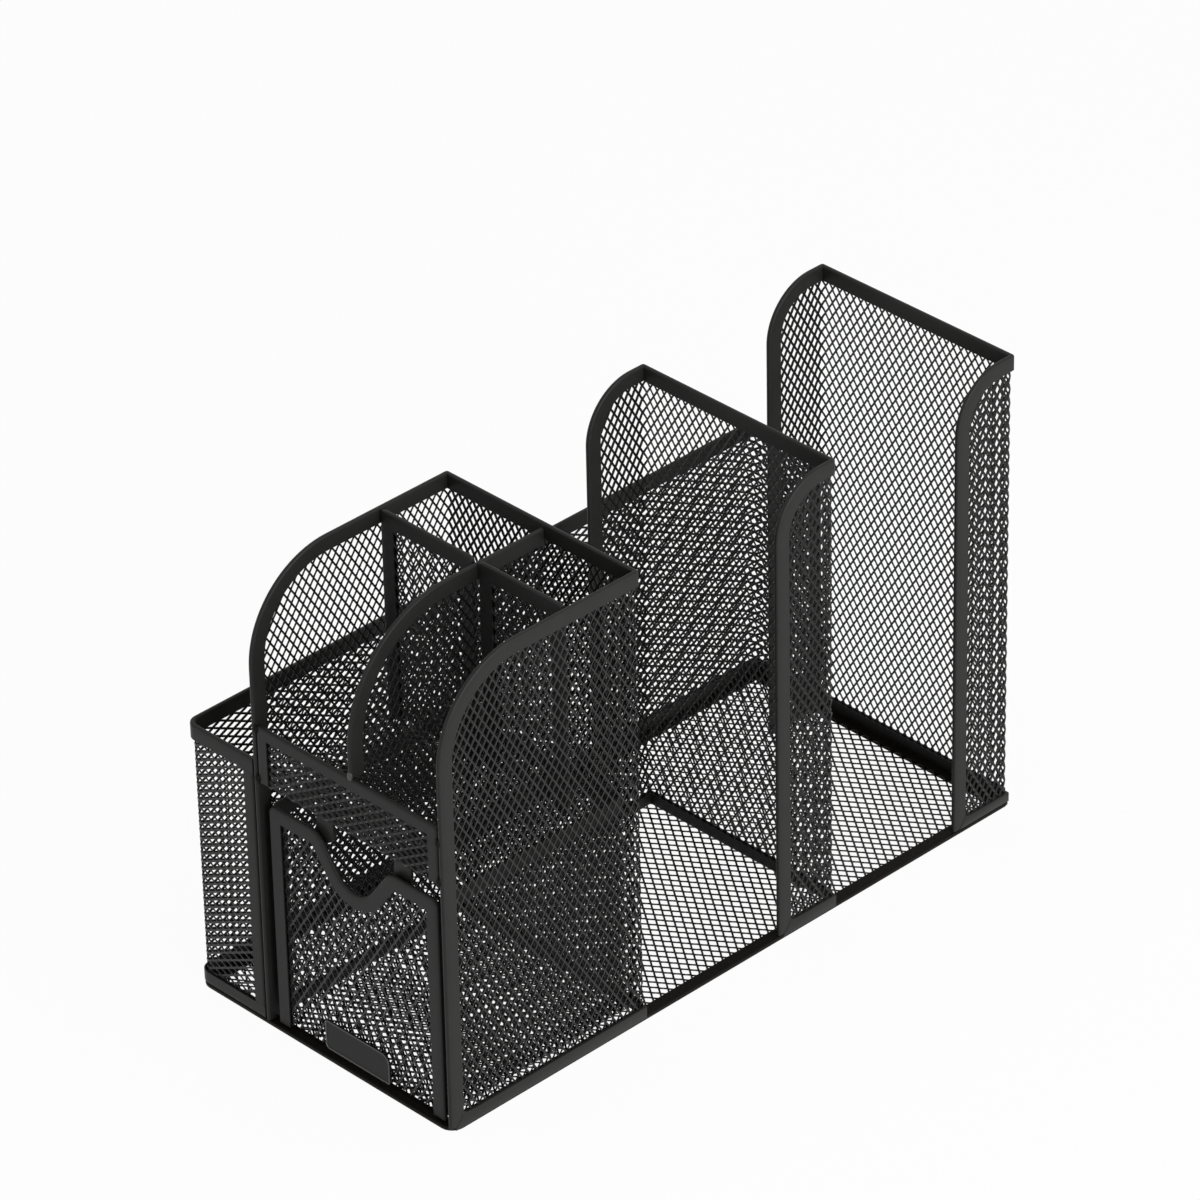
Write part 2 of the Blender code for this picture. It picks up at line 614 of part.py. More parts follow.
def drawer_tray(parent):
    """The drawer's floor, two sides and back, and the strip round their top."""
    spot = (DRAWER_LEFT, FRONT, FLOOR + MESH_HALF)
    outline = rectangle((0, DRAWER_START), (DRAWER_WIDTH, DRAWER_BACK))
    low = (NET_END_BORDER, DRAWER_START + NET_END_BORDER)
    high = (DRAWER_WIDTH - NET_END_BORDER, DRAWER_BACK - NET_END_BORDER)
    gaps = diamonds(rectangle(low, high), NET_LONG, NET_SHORT)
    put("drawer_floor_mesh", sheet(outline, gaps, MESH_THICK), MESH_COAT, spot, FLAT, parent)
    bottom = FLOOR + MESH_THICK + GAP
    top = DRAWER_TOP - EDGE_SET
    window_low = bottom + NET_END_BORDER
    window_high = DRAWER_TOP - DRAWER_BAND - NET_BORDER
    side = rectangle((DRAWER_START, bottom), (DRAWER_BACK - EDGE_SET, top))
    window = rectangle(
        (DRAWER_START + NET_END_BORDER, window_low), (DRAWER_BACK - NET_END_BORDER, window_high)
    )
    gaps = diamonds(window, NET_SHORT, NET_LONG)
    left, right = DRAWER_LEFT + STRIP_HALF, DRAWER_RIGHT - STRIP_HALF
    for name, place in (("drawer_left_mesh", left), ("drawer_right_mesh", right)):
        put(name, sheet(side, gaps, MESH_THICK), MESH_COAT, (place, FRONT, 0), SIDEWAYS, parent)
    start = STRIP_HALF + MESH_THICK
    end = DRAWER_WIDTH - start
    window = rectangle((start + NET_END_BORDER, window_low), (end - NET_END_BORDER, window_high))
    back = sheet(rectangle((start, bottom), (end, top)), diamonds(window, NET_SHORT, NET_LONG), MESH_THICK)
    spot = (DRAWER_LEFT, FRONT + DRAWER_BACK - STRIP_HALF, 0)
    put("drawer_back_mesh", back, MESH_COAT, spot, ACROSS, parent)
    path = [(STRIP_HALF, DRAWER_START), (STRIP_HALF, DRAWER_BACK - STRIP_HALF)]
    path += [(DRAWER_WIDTH - point[0], point[1]) for point in reversed(path)]
    path = [(point[0], point[1], 0) for point in path]
    rim = swept(path, (0, 0, -1), channel(DRAWER_BAND))
    put("drawer_rim", rim, STRIP_COAT, (DRAWER_LEFT, FRONT, DRAWER_TOP), FLAT, parent)


def condiment_box(parent):
    """The drawer's housing with the packet and stirrer bays above it."""
    walls = (("right_wall", RIGHT - STRIP_HALF), ("left_wall", BOX_LEFT + STRIP_HALF))
    for name, middle in walls:
        side_wall(name, middle, 0, BOX_DEPTH, BOX_HEIGHT, BOX_ROUND, parent)
    back_wall("rear_wall", BOX_DEPTH, BOX_HEIGHT, parent)
    shelf(parent)
    lip(parent)
    divider(parent)
    beside_divider = STRIP_HALF + GAP
    cross_wall("cross_wall_left", BAY_LEFT, LEFT + DIVIDER_SET - beside_divider, parent)
    cross_wall("cross_wall_right", LEFT + DIVIDER_SET + beside_divider, BAY_RIGHT, parent)
    for side, share in zip(("left", "right"), STOP_PLACE_SHARES):
        drawer_stop("drawer_stop_" + side, share, parent)


def cup_cradles(parent):
    """Two back walls, each with a short wing at either side that keeps the cups in."""
    for number, (back, height) in enumerate(zip(CRADLE_BACKS, CRADLE_HEIGHTS), start=1):
        name = f"cradle_{number}"
        back_wall(name + "_back", back, height, parent)
        front = back - WING_LENGTH
        right, left = RIGHT - STRIP_HALF, BOX_LEFT + STRIP_HALF
        side_wall(name + "_right_wing", right, front, WING_LENGTH, height, WING_ROUND, parent)
        side_wall(name + "_left_wing", left, front, WING_LENGTH, height, WING_ROUND, parent)


def build():
    clear_scene()
    organizer = carrier("organizer", (0, 0, 0))
    drawer = carrier("drawer", (DRAWER_LEFT + DRAWER_WIDTH / 2, FRONT, FLOOR))
    base(organizer)
    condiment_box(organizer)
    trough_strips(organizer)
    trough_meshes(organizer)
    cup_cradles(organizer)
    drawer_front(drawer)
    label_plate(drawer)
    drawer_tray(drawer)


build()
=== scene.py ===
"""The mesh organizer dressed for its picture: fine expanded mesh, folded strips and a satin
black powder coat.

Metres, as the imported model: X to the right as seen from the drawer, Y to the back, Z up.
"""

import json
import math

import bmesh
import bpy
import numpy as np
from mathutils import Matrix, Vector

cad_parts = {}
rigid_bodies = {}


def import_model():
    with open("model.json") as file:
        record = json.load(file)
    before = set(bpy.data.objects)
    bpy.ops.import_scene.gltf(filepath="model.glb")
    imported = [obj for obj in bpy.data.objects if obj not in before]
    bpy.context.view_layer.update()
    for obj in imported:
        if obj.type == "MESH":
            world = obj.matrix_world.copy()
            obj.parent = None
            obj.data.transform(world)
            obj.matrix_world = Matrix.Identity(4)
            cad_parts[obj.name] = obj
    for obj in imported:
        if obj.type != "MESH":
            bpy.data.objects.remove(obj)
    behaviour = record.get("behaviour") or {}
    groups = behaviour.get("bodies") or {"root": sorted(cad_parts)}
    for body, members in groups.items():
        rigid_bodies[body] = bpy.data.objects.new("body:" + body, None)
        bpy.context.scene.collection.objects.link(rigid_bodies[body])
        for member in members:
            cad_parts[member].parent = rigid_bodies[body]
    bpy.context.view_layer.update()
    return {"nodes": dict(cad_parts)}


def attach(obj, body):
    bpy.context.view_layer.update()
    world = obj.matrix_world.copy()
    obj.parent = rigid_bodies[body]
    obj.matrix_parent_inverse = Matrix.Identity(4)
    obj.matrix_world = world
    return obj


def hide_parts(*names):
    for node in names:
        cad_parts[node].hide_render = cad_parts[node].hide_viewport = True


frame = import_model()

MM = 0.001

# Expanded mesh: long and short way of its diamonds in each panel
WALL_PITCH = (5.6 * MM, 3.55 * MM)
FRONT_PITCH = (5.85 * MM, 3.8 * MM)
TROUGH_PITCH = (6.6 * MM, 3.3 * MM)
SHELF_PITCH = (5.7 * MM, 3.45 * MM)
BASE_PITCH = (5.6 * MM, 3.9 * MM)

# Its strands: width, sheet thickness, lean, and how far knots stay from a panel's edge
STRAND = 0.74 * MM
SHEET = 0.40 * MM
TILT = 0.12 * MM
STRAND_HOLD = 2.4 * MM
JOIN = 0.02 * MM

# Folded strips
STRIP = 1.8 * MM
LIP_WALL = 0.5 * MM
BAND = 6.2 * MM
FOOT_BAND = 5.0 * MM
FOOT_LEVEL = 1.7 * MM
EDGE_ROUND = 0.75 * MM
EDGE_STEPS = 4
GROOVE = 3.0 * MM
RING_THICK = 1.6 * MM
RING_ROUND = 0.45 * MM
CREASE = 0.05 * MM
BEND = STRIP / 2 + CREASE

# The condiment box, and what stands inside it
BOX_FRONT = -142.5 * MM
BOX_DEPTH = 96.3 * MM
BOX_TOP = 188.5 * MM
BOX_ROUND = 38.0 * MM
BOX_SPLIT = 160 * MM
SHELF_LEVEL = 102.6 * MM
INNER_NET_FOOT = 104.6 * MM
DIVIDER_PLACE = 20.3 * MM
DIVIDER_TOP = 187.0 * MM
DIVIDER_ROUND = 48.0 * MM
CROSS_PLACE = -79.8 * MM
CROSS_FOOT = 103.3 * MM
CROSS_TIP = 1.6 * MM
LIP_FOOT = 104.5 * MM
LIP_BAND = 4.8 * MM
LIP_TIP = 1.2 * MM

# The trough along the left side
TROUGH_TOP = 112.5 * MM
TROUGH_OPEN = -30.4 * MM

# Where the walls' nets and rims start
WALL_NET_FOOT = 4.0 * MM
RIM_FOOT = 2.0 * MM


def deselect_all():
    """Nothing is selected or active afterwards."""
    for item in bpy.context.view_layer.objects.selected[:]:
        item.select_set(False)
    bpy.context.view_layer.objects.active = None


def take(item):
    """Makes this the one selected and active object."""
    deselect_all()
    item.select_set(True)
    bpy.context.view_layer.objects.active = item


def edit():
    """Into edit mode."""
    bpy.ops.object.mode_set(mode="EDIT")


def leave():
    """Back to object mode."""
    bpy.ops.object.mode_set(mode="OBJECT")


def named(name):
    """Names the active object and its mesh, and settles its place into its mesh."""
    item = bpy.context.view_layer.objects.active
    bpy.ops.object.transform_apply(location=True, rotation=True, scale=True)
    item.name = name
    item.data.name = name
    return item


def apply_all(item):
    """Applies every modifier of the piece, in order."""
    take(item)
    for modifier in list(item.modifiers):
        bpy.ops.object.modifier_apply(modifier=modifier.name)


def pick(test, mode="VERT"):
    """Selects, in edit mode, the vertices, edges or faces that pass the test, and nothing else."""
    item = bpy.context.view_layer.objects.active
    bpy.ops.mesh.select_mode(type=mode)
    shape = bmesh.from_edit_mesh(item.data)
    for part in (shape.faces, shape.edges, shape.verts):
        for element in part:
            element.select = False
    source = {"VERT": shape.verts, "EDGE": shape.edges, "FACE": shape.faces}[mode]
    chosen = [element for element in source if test(element)]
    for element in chosen:
        element.select_set(True)
    shape.select_flush_mode()
    bmesh.update_edit_mesh(item.data)


def look_camera():
    """The camera of the picture: its place, its turn and its long lens."""
    lens = bpy.data.cameras.new("camera")
    lens.lens = 218.935
    lens.sensor_width = 36.0
    lens.shift_x = 0.003583
    lens.shift_y = 0.004642
    lens.clip_end = 20.0
    camera = bpy.data.objects.new("camera", lens)
    bpy.context.scene.collection.objects.link(camera)
    right = Vector((0.700441, 0.713465, -0.018695))
    up = Vector((-0.372327, 0.387627, 0.843278))
    back = Vector((0.608896, -0.583706, 0.537152))
    turn = Matrix((right, up, back)).transposed().to_4x4()
    spot = (1.577032, -1.516209, 1.517075)
    camera.matrix_world = Matrix.Translation(spot) @ turn
    bpy.context.scene.camera = camera


look_camera()


def coat(name, colour, roughness, bump, gloss):
    """Satin black powder coat: a faint orange peel, and gloss that wanders a little."""
    material = bpy.data.materials.new(name)
    material.use_nodes = True
    nodes, links = material.node_tree.nodes, material.node_tree.links
    shader = nodes["Principled BSDF"]
    place = nodes.new("ShaderNodeTexCoord")
    peel = nodes.new("ShaderNodeTexNoise")
    peel.inputs["Scale"].default_value = 1400.0
    peel.inputs["Detail"].default_value = 2.0
    drift = nodes.new("ShaderNodeTexNoise")
    drift.inputs["Scale"].default_value = 90.0
    drift.inputs["Detail"].default_value = 3.0
    shade = nodes.new("ShaderNodeMapRange")
    shade.inputs["To Min"].default_value = roughness - 0.05
    shade.inputs["To Max"].default_value = roughness + 0.07
    tint = nodes.new("ShaderNodeMix")
    tint.data_type = "RGBA"
    tint.inputs["A"].default_value = (*(0.85 * value for value in colour), 1)
    tint.inputs["B"].default_value = (*(1.18 * value for value in colour), 1)
    relief = nodes.new("ShaderNodeBump")
    relief.inputs["Strength"].default_value = bump
    relief.inputs["Distance"].default_value = 0.05 * MM
    links.new(place.outputs["Object"], peel.inputs["Vector"])
    links.new(place.outputs["Object"], drift.inputs["Vector"])
    links.new(peel.outputs["Fac"], relief.inputs["Height"])
    links.new(drift.outputs["Fac"], shade.inputs["Value"])
    links.new(drift.outputs["Fac"], tint.inputs["Factor"])
    links.new(tint.outputs["Result"], shader.inputs["Base Color"])
    links.new(shade.outputs["Result"], shader.inputs["Roughness"])
    links.new(relief.outputs["Normal"], shader.inputs["Normal"])
    shader.inputs["Metallic"].default_value = 0.0
    shader.inputs["Specular IOR Level"].default_value = gloss
    return material


STRIP_COAT = coat("satin_black_strip", (0.017, 0.0165, 0.016), 0.40, 0.25, 0.14)
MESH_COAT = coat("satin_black_mesh", (0.0045, 0.0043, 0.004), 0.34, 0.2, 0.24)
RING_COAT = coat("satin_black_ring", (0.006, 0.0048, 0.004), 0.45, 0.2, 0.08)
LABEL_COAT = coat("satin_black_plate", (0.011, 0.011, 0.0115), 0.33, 0.1, 0.12)
# A lighter coat: partly rubbed, bare edge and partly a painted highlight for the light caught on the plate's
# raised edge and the divider strip's cut end.
RUBBED_AND_HIGHLIGHT_COAT = coat("rubbed_edge_painted_highlight", (0.050, 0.048, 0.046), 0.35, 0.1, 0.40)


def wear(item, material, slot, body, *nodes):
    """Gives a finished piece its coat, its body and the solids it stands for; slot is not used."""
    item.data.materials.clear()
    item.data.materials.append(material)
    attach(item, body)
    if nodes:
        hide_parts(*nodes)
    return item


def knot(long_way, short_way):
    """One knot of the mesh with its four half strands, long way along Y, strands tilted.

    The face stays open at the strand ends, where the next knot goes on.
    """
    slope = math.hypot(short_way, long_way)
    side, top = STRAND / 2 * slope / long_way, STRAND / 2 * slope / short_way
    bpy.ops.mesh.primitive_circle_add(vertices=4, radius=1, fill_type="NGON")
    item = named("knot")
    edit()
    bpy.ops.mesh.select_all(action="SELECT")
    bpy.ops.transform.resize(value=(side, top, 1))
    for right, up in ((1, 1), (-1, 1), (-1, -1), (1, -1)):
        def own_quarter(edge):
            return all(vertex.co.x * right > -side / 9 and vertex.co.y * up > -top / 9
                       and vertex.co.xy.length < top * 1.1 for vertex in edge.verts)
        pick(own_quarter, "EDGE")
        reach = (right * (short_way / 4 - side / 2), up * (long_way / 4 - top / 2), 0)
        bpy.ops.mesh.extrude_edges_move(TRANSFORM_OT_translate={"value": reach})
    for sign in (1, -1):
        def raised(vertex):
            spot = vertex.co
            if abs(spot.x) < side / 9:
                return False
            if abs(spot.y) < top / 9:
                return spot.x * sign < 0
            middle = math.copysign(short_way / 4, spot.x)
            return (spot.x - middle) * sign < 0
        pick(raised)
        bpy.ops.transform.translate(value=(0, 0, sign * TILT))
    bpy.ops.mesh.select_all(action="SELECT")
    bpy.ops.transform.translate(value=(0, 0, SHEET / 2))
    bpy.ops.mesh.extrude_region_move(TRANSFORM_OT_translate={"value": (0, 0, -SHEET)})

    def strand_end(face):
        middle = face.calc_center_median()
        return (abs(abs(middle.x) - short_way / 4) < side / 9
                and abs(abs(middle.y) - long_way / 4) < top / 9)
    pick(strand_end, "FACE")
    bpy.ops.mesh.delete(type="FACE")
    bpy.ops.mesh.select_all(action="SELECT")
    bpy.ops.mesh.normals_make_consistent(inside=False)
    leave()
    return item


def inside_outline(points, outline):
    """Which of the points lie inside the closed outline."""
    count = np.zeros(len(points), int)
    for (x0, y0), (x1, y1) in zip(outline, outline[1:] + outline[:1]):
        crosses = (y0 > points[:, 1]) != (y1 > points[:, 1])
        with np.errstate(divide="ignore", invalid="ignore"):
            cut = x0 + (points[:, 1] - y0) * (x1 - x0) / (y1 - y0)
        count += crosses & (points[:, 0] < cut)
    return count % 2 == 1


def turned(right_hand, axis, centre):
    """Turns what is selected. Without a window this operator turns the other way round."""
    bpy.ops.transform.rotate(value=-right_hand, orient_axis=axis, center_override=centre)


def mesh_sheet(name, outline, pitch, sideways=False, flip=False):
    """A flat expanded sheet in X and Y whose knots lie inside the outline.

    sideways lays the long way along X, flip tilts the strands the other way.
    """
    long_way, short_way = pitch
    low = [min(point[axis] for point in outline) for axis in (0, 1)]
    high = [max(point[axis] for point in outline) for axis in (0, 1)]
    steps = (long_way, short_way) if sideways else (short_way, long_way)
    item = knot(long_way, short_way)
    edit()
    bpy.ops.mesh.select_all(action="SELECT")
    if flip:
        turned(math.pi, "Z", (0, 0, 0))
    if sideways:
        turned(math.pi / 2, "Z", (0, 0, 0))
    first = [steps[axis] * math.floor(low[axis] / steps[axis]) for axis in (0, 1)]
    counts = [int(math.ceil((high[axis] - first[axis]) / steps[axis])) + 1 for axis in (0, 1)]
    bpy.ops.transform.translate(value=(first[0], first[1], 0))
    bpy.ops.mesh.duplicate_move(TRANSFORM_OT_translate={"value": (steps[0] / 2, steps[1] / 2, 0)})
    leave()
    for axis in (0, 1):
        array = item.modifiers.new("array", "ARRAY")
        array.use_relative_offset = False
        array.use_constant_offset = True
        array.constant_offset_displace = [steps[0] if axis == 0 else 0, steps[1] if axis == 1 else 0, 0]
        array.count = counts[axis]
    apply_all(item)
    shape = item.data
    middles = np.zeros(len(shape.polygons) * 3)
    shape.polygons.foreach_get("center", middles)
    middles = middles.reshape(-1, 3)[:, :2]
    lattice = (middles - np.array(first)) / (np.array(steps) / 2)
    near = np.round(lattice)
    error = lattice - near
    odd = (near.sum(axis=1) % 2) != 0
    wide = np.abs(error[:, 0]) > np.abs(error[:, 1])
    step = np.where(error >= 0, 1.0, -1.0)
    near[:, 0] += np.where(odd & wide, step[:, 0], 0)
    near[:, 1] += np.where(odd & ~wide, step[:, 1], 0)
    knots = near * (np.array(steps) / 2) + np.array(first)
    select_only(item, "FACE", ~inside_outline(knots, outline))
    edit()
    bpy.ops.mesh.delete(type="FACE")
    bpy.ops.mesh.select_all(action="SELECT")
    bpy.ops.mesh.remove_doubles(threshold=JOIN)
    bpy.ops.mesh.select_all(action="SELECT")
    bpy.ops.mesh.fill_holes(sides=4)
    leave()
    item.name = name
    item.data.name = name
    return item


def select_only(item, mode, chosen):
    """Selects these faces or vertices, by a list of yes and no, and leaves edit mode ready for them."""
    take(item)
    edit()
    bpy.ops.mesh.select_mode(type=mode)
    bpy.ops.mesh.select_all(action="DESELECT")
    leave()
    parts = item.data.polygons if mode == "FACE" else item.data.vertices
    parts.foreach_set("select", chosen)


def crease_gap(reach):
    """The flat distance between two of a fold's three creases."""
    return reach / (math.cos(math.radians(30)) + math.cos(math.radians(60)))


def fold(item, axis, corner, reach, angle, before=False):
    """Folds a flat sheet a quarter turn in three creases about a line across X or Y.

    corner is where the two flats would meet on the flat pattern's side that stays, and reach
    is how far from it the fold starts. What lies past the creases turns.
    """
    along = 0 if axis == "Y" else 1
    spots = np.zeros(len(item.data.vertices) * 3)
    item.data.vertices.foreach_get("co", spots)
    places = spots.reshape(-1, 3)[:, along].copy()
    away = -1 if before else 1
    for crease in (2, 1, 0):
        line = corner + away * (crease_gap(reach) * crease - reach)
        select_only(item, "VERT", (places - line) * away > 0)
        edit()
        centre = (line, 0, 0) if along == 0 else (0, line, 0)
        turned(angle / 3, axis, centre)
        leave()


def flat_length(reach):
    """How much of the flat pattern a fold takes up."""
    return 2 * crease_gap(reach)


def placed(item, x_way, y_way, spot):
    """Moves a flat piece so that its X and Y run these ways from this spot."""
    x_way, y_way = Vector(x_way), Vector(y_way)
    turn = Matrix((x_way, y_way, x_way.cross(y_way))).transposed().to_4x4()
    take(item)
    item.matrix_world = Matrix.Translation(spot) @ turn
    bpy.ops.object.transform_apply(location=True, rotation=True, scale=True)
    return item


def arc_points(centre, radius, start, end, steps=16):
    """Points on an arc from one angle to another, in degrees."""
    points = []
    for step in range(steps + 1):
        angle = math.radians(start + (end - start) * step / steps)
        points.append((centre[0] + radius * math.cos(angle), centre[1] + radius * math.sin(angle)))
    return points


def wall_outline(low, high, round_first=0.0, round_last=0.0):
    """Where knots may be: a rectangle whose upper corners may be arcs."""
    points = [(low[0], low[1]), (high[0], low[1])]
    if round_last:
        points += arc_points((high[0] - round_last, high[1] - round_last), round_last, 0, 90)
    else:
        points.append((high[0], high[1]))
    if round_first:
        points += arc_points((low[0] + round_first, high[1] - round_first), round_first, 90, 180)
    else:
        points.append((low[0], high[1]))
    return points


def strip_section(band, thick, edge_round):
    """The end view of a folded strip: outer edge on X 0, open towards +X."""
    deselect_all()
    bpy.ops.mesh.primitive_plane_add(size=1)
    item = named("strip")
    edit()
    bpy.ops.mesh.select_all(action="SELECT")
    bpy.ops.transform.resize(value=(band, thick, 1))
    bpy.ops.transform.translate(value=(band / 2, 0, 0))
    pick(lambda vertex: vertex.co.x < band / 9)
    bpy.ops.mesh.bevel(offset=edge_round, segments=EDGE_STEPS, affect="VERTICES")
    wall = thick / 2 - LIP_WALL
    cuts = (((0, wall, 0), (0, 1, 0)), ((0, -wall, 0), (0, 1, 0)), ((band - GROOVE, 0, 0), (1, 0, 0)))
    for spot, way in cuts:
        bpy.ops.mesh.select_all(action="SELECT")
        bpy.ops.mesh.bisect(plane_co=spot, plane_no=way)

    def in_groove(face):
        middle = face.calc_center_median()
        return middle.x > band - GROOVE and abs(middle.y) < wall
    pick(in_groove, "FACE")
    bpy.ops.mesh.delete(type="FACE")
    leave()
    return item


def corner_scale(angle, outer, tip):
    """How far out a square corner with a rounded tip reaches at an angle, over its flat reach."""
    ray = (math.cos(angle), math.sin(angle))
    flat = outer / max(ray)
    reach = Vector(ray) * flat
    if min(reach) <= outer - tip:
        return flat / outer
    centre = Vector((outer - tip, outer - tip))
    along = centre.dot(Vector(ray))
    off = centre.length_squared - along * along
    return (along + math.sqrt(max(tip * tip - off, 0))) / outer


def folded_strip(name, spot, into, forward, moves, band=BAND, closed=False, thick=STRIP,
                 edge_round=EDGE_ROUND):
    """Runs a folded strip from a spot on its outer edge: go, turn towards a side, or corner.

    A turn names its side, radius, steps and, unless it is a quarter, its degrees. A corner is
    square with a small rounded tip, whose radius it names. It goes towards the strip's own
    panel, or, when its side is a direction, round a corner of the walls.
    """
    item = strip_section(band, thick, edge_round)
    spot, into, forward = Vector(spot), Vector(into), Vector(forward)
    placed(item, into, forward.cross(into), spot)
    start_spot, start_way = spot.copy(), forward.copy()
    edit()
    bpy.ops.mesh.select_all(action="SELECT")
    for move in moves:
        if move[0] == "go":
            bpy.ops.mesh.extrude_region_move(TRANSFORM_OT_translate={"value": forward * move[1]})
            spot = spot + forward * move[1]
            continue
        kind, side, radius, steps = move[:4]
        swing = math.radians(move[4] if len(move) > 4 else 90)
        across = band if side in ("in", "out") else thick
        side = into.copy() if side == "in" else -into if side == "out" else Vector(side)
        axis = forward.cross(side).normalized()
        reach = across + CREASE
        centre = spot + side * (radius if kind == "turn" else reach if across == band else BEND)
        bpy.ops.mesh.spin(steps=steps, angle=-swing, center=centre, axis=axis)
        if kind == "corner":
            ends = bmesh.from_edit_mesh(item.data)
            last = [face.index for face in ends.faces if face.select]
            plain = [0 if abs(value) > 0.5 else 1 for value in axis]
            for step in range(1, steps):
                angle = math.pi / 2 * step / steps
                ray = Matrix.Rotation(angle, 3, axis) @ -side
                normal = axis.cross(ray)

                def on_ring(vertex):
                    off = vertex.co - centre
                    flat = off - axis * off.dot(axis)
                    return (abs(flat.dot(normal)) < 0.002 * MM and flat.dot(ray) > 0
                            and flat.length < reach * 1.001)
                pick(on_ring)
                size = corner_scale(angle, reach, radius)
                bpy.ops.transform.resize(
                    value=[size if keep else 1.0 for keep in plain], center_override=centre)
            bpy.ops.mesh.select_mode(type="FACE")
            ends = bmesh.from_edit_mesh(item.data)
            for face in ends.faces:
                face.select = False
            for face in ends.faces:
                if face.index in last:
                    face.select_set(True)
            bmesh.update_edit_mesh(item.data)
        turn = Matrix.Rotation(swing, 3, axis)
        spot = centre + turn @ (spot - centre)
        forward, into = turn @ forward, turn @ into
    if closed:
        def end_cap(face):
            off = face.calc_center_median() - start_spot
            return (abs(off.dot(start_way)) < JOIN / 2 and off.length < band * 1.1
                    and abs(face.normal.dot(start_way)) > 0.9)
        pick(end_cap, "FACE")
        bpy.ops.mesh.delete(type="FACE")
        bpy.ops.mesh.select_all(action="SELECT")
        bpy.ops.mesh.remove_doubles(threshold=JOIN / 2)
    bpy.ops.mesh.select_all(action="SELECT")
    bpy.ops.mesh.normals_make_consistent(inside=False)
    leave()
    bpy.ops.object.shade_smooth_by_angle(angle=math.radians(32))
    item.name = name
    item.data.name = name
    return item


# Where the bent sheets run: their planes, and how far from a corner they start to turn
PLANE_SET = 1.1 * MM
RIGHT_PLANE = 64.9 * MM
LEFT_PLANE = -28.9 * MM
CORNER_REACH = 0.9 * MM
CORNER_TIP = 1.0 * MM


def wrapped_walls(name, front, depth, height, radius, split=None, flip=False):
    """Mesh that runs back along the right wall, across the back and forward along the left."""
    side = depth - PLANE_SET
    across = RIGHT_PLANE - LEFT_PLANE
    reach = CORNER_REACH
    second = side - 2 * reach + flat_length(reach) + across
    total = second - 2 * reach + flat_length(reach) + side
    low, high = WALL_NET_FOOT, height - STRAND_HOLD
    hold = radius - STRAND_HOLD
    pieces = []
    spans = [(0, total)] if split is None else [(0, split), (split, total)]
    for number, (start, end) in enumerate(spans):
        left = STRAND_HOLD if start == 0 else start
        right = total - STRAND_HOLD if end == total else end
        outline = wall_outline((left, low), (right, high),
                               hold if start == 0 else 0, hold if end == total else 0)
        item = mesh_sheet(f"{name}_{number + 1}", outline, WALL_PITCH, flip=flip)
        fold(item, "Y", second, reach, math.pi / 2)
        fold(item, "Y", side, reach, math.pi / 2)
        placed(item, (0, 1, 0), (0, 0, 1), (RIGHT_PLANE, front, 0))
        pieces.append(item)
    return pieces


def dress_mesh(item, body, *nodes):
    """Gives a net its coat and its place in the model."""
    return wear(item, MESH_COAT, "mesh_sheet", body, *nodes)


def dress_strip(item, body, *nodes):
    """Gives a strip its coat and its place in the model."""
    return wear(item, STRIP_COAT, "folded_strip", body, *nodes)


def condiment_box():
    """The box's walls, all in one bent sheet, with its rim and feet."""
    front, depth, height, radius = BOX_FRONT, BOX_DEPTH, BOX_TOP, BOX_ROUND
    right, left = wrapped_walls("box_mesh", front, depth, height, radius, split=BOX_SPLIT)
    dress_mesh(right, "frame", "right_wall_mesh", "rear_wall_mesh")
    dress_mesh(left, "frame", "left_wall_mesh")
    wrapped_rim("box_rim", front, depth, height, radius, "right_wall_rim", "rear_wall_rim", "left_wall_rim")
    wrapped_foot("box", front, depth, 7.2 * MM, 5.6 * MM, 0.6 * MM,
                 "right_wall_foot", "rear_wall_foot", "left_wall_foot")


def wrapped_rim(name, front, depth, height, radius, *nodes):
    """The strip up one front edge, round its arc, round the top and down the other side."""
    side = depth - PLANE_SET
    across = RIGHT_PLANE - LEFT_PLANE
    rise, run = height - radius - RIM_FOOT, side - radius - BEND
    moves = [
        ("go", rise), ("turn", "in", radius, 24), ("go", run),
        ("corner", (-1, 0, 0), CORNER_TIP, 8), ("go", across - 2 * BEND),
        ("corner", (0, -1, 0), CORNER_TIP, 8), ("go", run),
        ("turn", "in", radius, 24), ("go", rise),
    ]
    item = folded_strip(name, (RIGHT_PLANE, front, RIM_FOOT), (0, 1, 0), (0, 0, 1), moves)
    dress_strip(item, "frame", *nodes)


def wrapped_foot(name, front, depth, tall, low, bottom, right_node, rear_node, left_node):
    """The strip round the foot of the left and rear walls, and the tapered one on the right."""
    side = depth - PLANE_SET
    across = RIGHT_PLANE - LEFT_PLANE
    start = BAND + 0.1 * MM
    moves = [
        ("go", side - start - BEND), ("corner", (1, 0, 0), CORNER_TIP, 8),
        ("go", across - BEND - PLANE_SET),
    ]
    item = folded_strip(name + "_foot", (LEFT_PLANE, front + start, FOOT_LEVEL), (0, 0, 1), (0, 1, 0),
                        moves, FOOT_BAND)
    dress_strip(item, "frame", rear_node, left_node)
    side_foot(name + "_side_foot", front, depth, tall, low, bottom, right_node)


def side_foot(name, front, depth, tall, low, bottom, node):
    """The plate along a right wall's foot, curved where it meets the strip at the front."""
    curve = [(1.8, 1.3), (2.6, 2.2), (3.6, 3.2), (4.5, 4.4), (5.3, 5.7), (6.0, tall / MM)]
    outline = [(front + across * MM, rise * MM) for across, rise in curve if rise * MM > bottom]
    outline += [(front + 8.0 * MM, tall - 0.7 * (tall - low)), (front + 12.0 * MM, low + 0.15 * MM)]
    rear = front + depth - 0.4 * MM
    outline += [(rear, low), (rear, bottom), (front + 2.4 * MM, bottom)]
    item = plate(name, outline, 2 * PLANE_SET, 0.35 * MM)
    placed(item, (0, 1, 0), (0, 0, 1), (RIGHT_PLANE, 0, 0))
    dress_strip(item, "frame", node)


